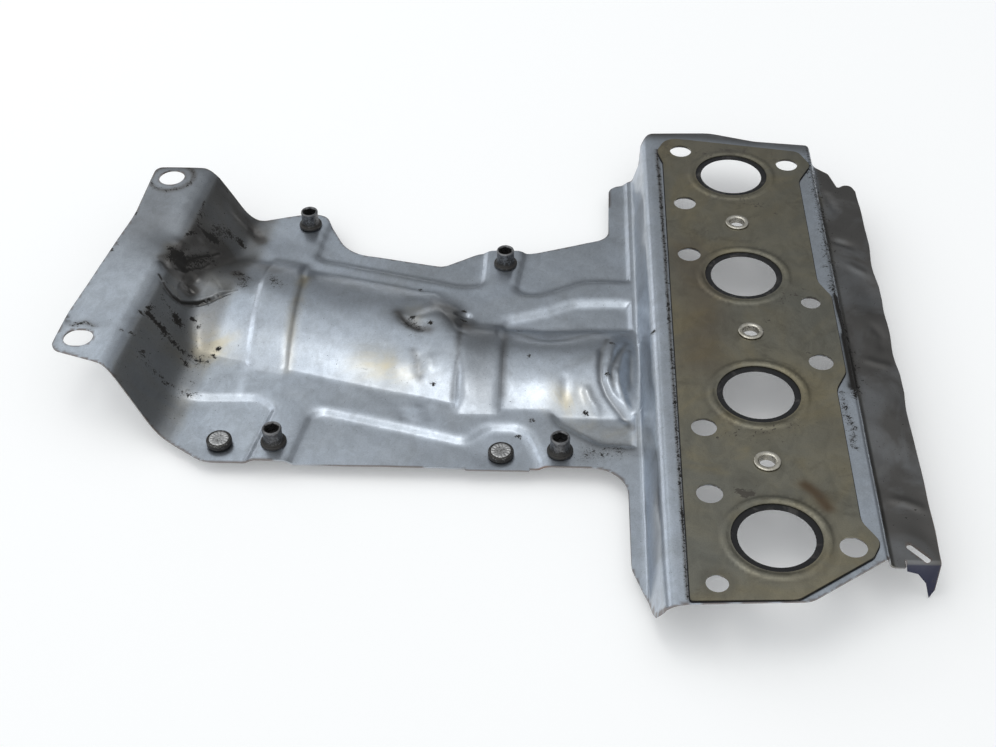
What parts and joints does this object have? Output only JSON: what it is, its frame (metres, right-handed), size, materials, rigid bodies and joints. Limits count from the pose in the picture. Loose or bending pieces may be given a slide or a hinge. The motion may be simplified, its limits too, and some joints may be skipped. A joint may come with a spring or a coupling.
{
  "type": "exhaust manifold heat shield with gasket",
  "caption": "Pressed steel exhaust heat shield with a raised plateau that carries the manifold gasket, a crowned pipe cover, a mounting strip, socket screws and studs.",
  "frame": {"origin": "on the gasket's top face, midway along the row of ports and on the line of port centres", "axes": "+X across the row of ports, away from the mounting strip; +Y along the row of ports; +Z out of the gasket's top face"},
  "size_m": [0.381, 0.3279, 0.037],
  "materials": {
    "shield_steel": "satin aluminised steel, stained and dented",
    "gasket_steel": "satin, heat-tinted olive brown",
    "gasket_coating": "matt black coating",
    "eyelet_steel": "bright, slightly tinted",
    "screw_steel": "dull zinc, dirty",
    "stud_steel": "dull zinc"
  },
  "bodies": {
    "root": {"shield_sheet": "shield_steel", "gasket_top_plate": "gasket_steel", "gasket_coated_layer": "gasket_coating", "rivet_eyelets": "eyelet_steel", "collar_screws": "screw_steel", "round_head_studs": "stud_steel"}
  },
  "joints": []
}
